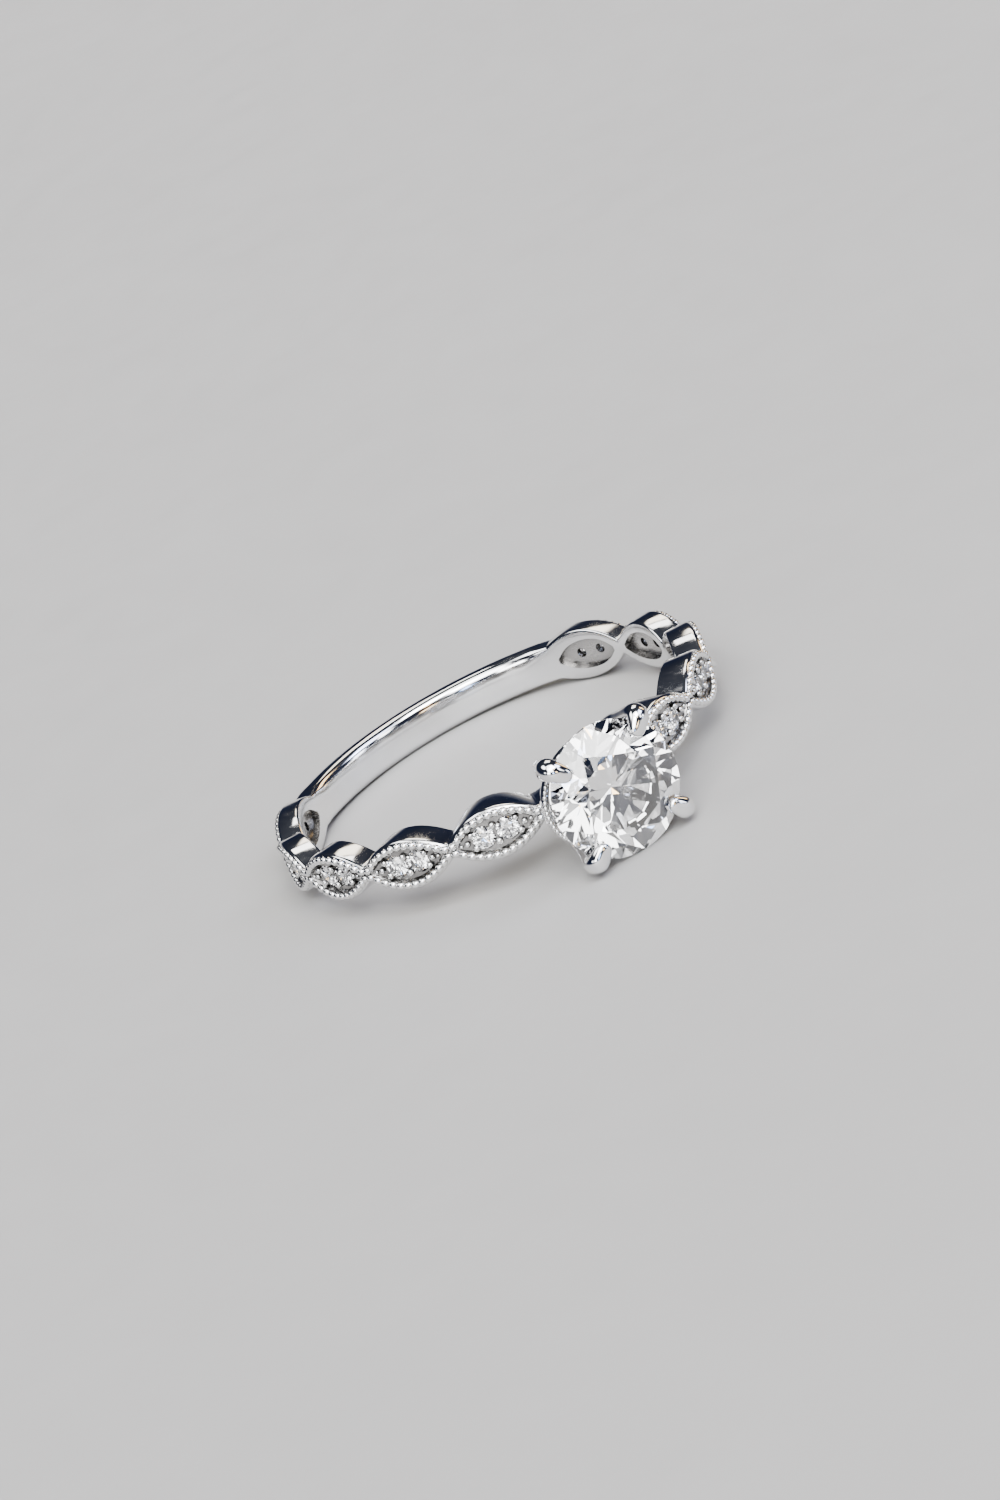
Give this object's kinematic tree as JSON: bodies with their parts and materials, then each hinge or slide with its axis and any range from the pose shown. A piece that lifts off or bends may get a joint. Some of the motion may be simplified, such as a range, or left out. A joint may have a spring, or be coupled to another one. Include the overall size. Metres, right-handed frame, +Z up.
{
  "type": "engagement ring",
  "caption": "Vintage-style white-metal engagement ring: round brilliant in a four-claw basket on a scalloped band of marquise-shaped pave stations and a plain rear shank.",
  "frame": {"origin": "centre of the bounding box in plan, on the table surface the ring lies on", "axes": "+Z up from the table, close to the finger axis (leaning 5.16 degrees towards +Y because the ring rests on its head and the back of its shank); the centre stone faces -Y; +X across the band"},
  "size_m": [0.0198, 0.0236, 0.0057],
  "materials": {
    "white_gold_band": "rhodium-plated white gold, mirror polished, milgrained edges",
    "white_gold_head": "rhodium-plated white gold, mirror polished",
    "diamond": "round brilliant cut, colourless, polished facets",
    "melee_diamond": "small round brilliants, colourless, polished facets"
  },
  "bodies": {
    "root": {"band": "white_gold_band", "claw_head": "white_gold_head", "centre_diamond": "diamond", "melee_left_1a": "melee_diamond", "melee_left_1b": "melee_diamond", "melee_left_2a": "melee_diamond", "melee_left_2b": "melee_diamond", "melee_left_3a": "melee_diamond", "melee_left_3b": "melee_diamond", "melee_left_4a": "melee_diamond", "melee_left_4b": "melee_diamond", "melee_left_5a": "melee_diamond", "melee_left_5b": "melee_diamond", "melee_right_1a": "melee_diamond", "melee_right_1b": "melee_diamond", "melee_right_2a": "melee_diamond", "melee_right_2b": "melee_diamond", "melee_right_3a": "melee_diamond", "melee_right_3b": "melee_diamond", "melee_right_4a": "melee_diamond", "melee_right_4b": "melee_diamond", "melee_right_5a": "melee_diamond", "melee_right_5b": "melee_diamond"}
  },
  "joints": []
}
